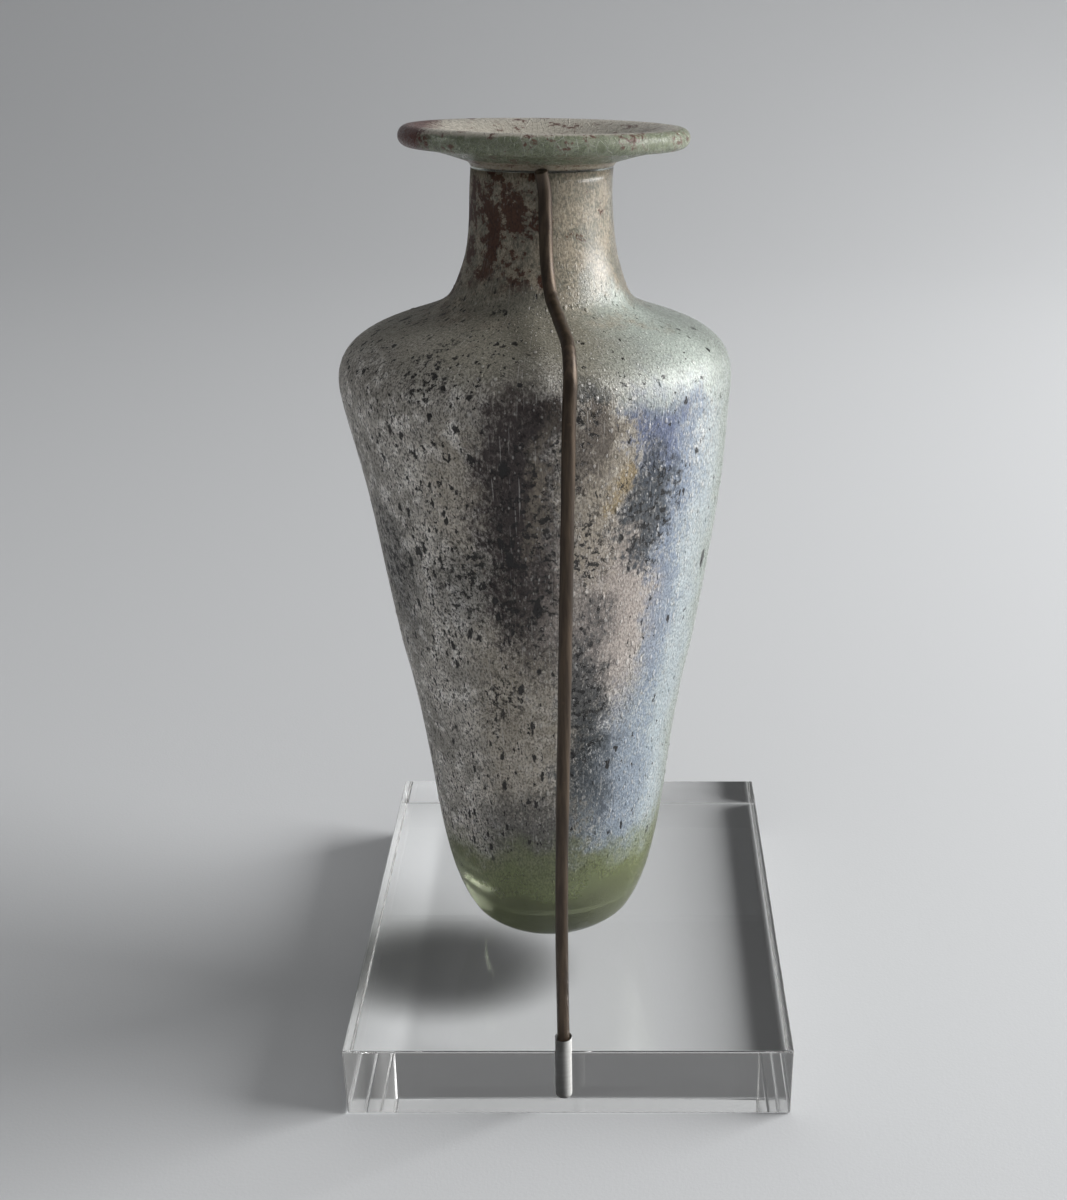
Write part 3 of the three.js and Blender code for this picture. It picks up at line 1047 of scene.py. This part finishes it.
# %% Rim finish
def rim_finish():
    made, tree, shader = material("rim_deposit")
    place = bottle_coordinates(tree)
    parts = put(tree, "SeparateXYZ", Vector=place).outputs
    mid = cloud(tree, place, 0.5, 8, 0.7)
    fine = cloud(tree, place, 2.2, 5, 0.7)
    around, height = bottle_angle(tree, place)
    across = maths(tree, "MULTIPLY", around, 0.28)
    lip = put(tree, "CombineXYZ", X=across, Y=maths(tree, "MULTIPLY", parts["Z"], 0.7)).outputs[0]
    cracks = put(tree, "TexVoronoi", {"feature": "DISTANCE_TO_EDGE", "voronoi_dimensions": "2D"},
                 Vector=lip, Scale=1.05).outputs["Distance"]
    cracks = ramp(tree, strayed(tree, cracks, (fine, 0.12)), 0.05, 0.0)
    radius = put(tree, "VectorMath", {"operation": "LENGTH"}, Vector=stretched(tree, place, (1, 1, 0)))
    inward = maths(tree, "MULTIPLY_ADD", radius.outputs["Value"], -0.32, height)
    top = ramp(tree, strayed(tree, inward, (mid, 1.2)), 99.9, 100.4)
    collar = ramp(tree, strayed(tree, radius.outputs["Value"], (mid, 1)), 10.2, 9.3)
    collar = maths(tree, "MULTIPLY", collar, ramp(tree, height, 103, 102.6))
    left = ramp(tree, strayed(tree, parts["X"], (mid, 7), (fine, 6)), -11.5, -13)
    spots = ramp(tree, strayed(tree, mid, (fine, 0.5)), 0.57, 0.61)
    dark = maths(tree, "MAXIMUM", left, maths(tree, "MULTIPLY", spots, 0.9))
    glassy = blend(tree, ramp(tree, mid, 0.35, 0.65), (0.24, 0.27, 0.17), (0.46, 0.49, 0.37))
    glassy = blend(tree, maths(tree, "MULTIPLY", cracks, 0.45), glassy, (0.8, 0.82, 0.74))
    earthy = blend(tree, fine, (0.38, 0.35, 0.28), (0.66, 0.62, 0.54))
    colour = blend(tree, top, glassy, earthy)
    colour = blend(tree, collar, colour, EARTH)
    colour = blend(tree, dark, colour, (0.09, 0.02, 0.009))
    alpha = maths(tree, "MAXIMUM", ramp(tree, maths(tree, "MAXIMUM", top, collar), 0, 1, 0.5, 0.9), dark)
    relief = maths(tree, "ADD", fine, cracks)
    bump = put(tree, "Bump", Height=relief, Strength=0.7, Distance=0.00014).outputs["Normal"]
    gloss = ramp(tree, fine, 0.4, 0.6, 0.18, 0.4)
    join(tree, shader, Base_Color=colour, Alpha=alpha, Normal=bump, Roughness=gloss)
    return made


skin_material = skin_finish()
dress(skin, skin_material)
dress(blisters, skin_material)
dress(soil, soil_finish())
dress(rim_skin, rim_finish())


# %% Patinated metal
def rod_finish():
    made, tree, shader = material("dark_patina")
    place = put(tree, "TexCoord").outputs["Object"]
    along = stretched(tree, place, (1, 1, 0.06))
    streaks = cloud(tree, along, 1400, 5, 0.6)
    spots = cloud(tree, place, 1100, 4, 0.6)
    colour = blend(tree, ramp(tree, streaks, 0.35, 0.7), (0.045, 0.031, 0.021), (0.105, 0.075, 0.05))
    colour = blend(tree, ramp(tree, spots, 0.62, 0.72, 0, 0.4), colour, (0.14, 0.09, 0.06))
    bump = put(tree, "Bump", Height=streaks, Strength=0.35, Distance=0.00005).outputs["Normal"]
    join(tree, shader, Base_Color=colour, Roughness=ramp(tree, streaks, 0.3, 0.7, 0.34, 0.5), Normal=bump)
    shader.inputs["Metallic"].default_value = 0.5
    return made


dress(rod, rod_finish())

# %% [markdown]
# ## Floor and light
# The flask stands on a sheet of pale paper that rises behind it. One large soft light stands to the
# right and a dim sky fills the rest, so the shadows are long and soft.

# %% Paper floor
def paper():
    made, tree, shader = material("pale_paper")
    place = put(tree, "TexCoord").outputs["Object"]
    grain = cloud(tree, place, 2500, 3)
    bump = put(tree, "Bump", Height=grain, Strength=0.15, Distance=0.0001).outputs["Normal"]
    join(tree, shader, Normal=bump)
    shader.inputs["Base Color"].default_value = (0.68, 0.69, 0.7, 1)
    shader.inputs["Roughness"].default_value = 0.9
    return made


SHEET = 5
SHEET_BACK = 0.45
CURL_RADIUS = 0.9
CURL_STEPS = 24


def paper_floor():
    """A sheet of paper that lies flat and then curves up behind, as in a studio."""
    bpy.ops.object.select_all(action="DESELECT")
    bpy.ops.mesh.primitive_plane_add(size=SHEET, location=(0, SHEET_BACK - SHEET / 2, -0.05 * MM))
    floor = settle(named("paper_floor"))
    bpy.ops.object.mode_set(mode="EDIT")
    bpy.ops.mesh.select_all(action="DESELECT")
    bpy.ops.object.mode_set(mode="OBJECT")
    back = max(vertex.co.y for vertex in floor.data.vertices)
    for edge in floor.data.edges:
        edge.select = all(floor.data.vertices[end].co.y == back for end in edge.vertices)
    bpy.ops.object.mode_set(mode="EDIT")
    for step in range(CURL_STEPS):
        turn = math.pi / 2 * (step + 0.5) / CURL_STEPS
        move = Vector((0, math.cos(turn), math.sin(turn))) * CURL_RADIUS * math.pi / 2 / CURL_STEPS
        bpy.ops.mesh.extrude_region_move(TRANSFORM_OT_translate={"value": move})
    bpy.ops.mesh.extrude_region_move(TRANSFORM_OT_translate={"value": (0, 0, 0.1)})
    bpy.ops.object.mode_set(mode="OBJECT")
    bpy.ops.object.shade_smooth()
    dress(floor, paper())
    return floor


floor = paper_floor()


# %% Soft lights
def soft_light(name, place, size, power):
    """A rectangular soft light that faces the flask."""
    data = bpy.data.lights.new(name, "AREA")
    data.shape = "RECTANGLE"
    data.size, data.size_y = size
    data.energy = power
    lamp = bpy.data.objects.new(name, data)
    lamp.location = place
    aim = Vector((0, 0, 0.05)) - lamp.location
    lamp.rotation_euler = aim.to_track_quat("-Z", "Y").to_euler()
    bpy.context.scene.collection.objects.link(lamp)
    return lamp


soft_light("window", place=Vector((0.78, 0.08, 0.38)), size=(0.62, 0.5), power=11.5)
soft_light("ceiling", place=Vector((-0.1, -0.5, 1.2)), size=(1.2, 1.2), power=1.4)
scene = bpy.context.scene
scene.world = bpy.data.worlds.new("room")
scene.world.use_nodes = True
sky = scene.world.node_tree.nodes["Background"].inputs
sky["Color"].default_value = (0.97, 0.98, 1, 1)
sky["Strength"].default_value = 0.16
scene.view_settings.view_transform = "Standard"
scene.cycles.transparent_max_bounces = 32
scene.cycles.max_bounces = 16
scene.cycles.glossy_bounces = 16
scene.cycles.transmission_bounces = 16
scene.cycles.caustics_refractive = False
scene.cycles.caustics_reflective = False

# %% [markdown]
# ## Joining the pieces to the frame
# Every piece rides on the one body, and the imported solids that the pieces stand for are hidden.

# %% Ride on the body, hide the imported solids
for piece, slot in (
    (bottle, "weathered_glass"),
    (skin, "weathered_glass"),
    (rim_skin, "weathered_glass"),
    (blisters, "weathered_glass"),
    (soil, "weathered_glass"),
    (rod, "patinated_metal"),
    (block, "clear_acrylic"),
):
    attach(piece, "root")
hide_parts("glass_bottle")
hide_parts("support_rod")
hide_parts("acrylic_base")
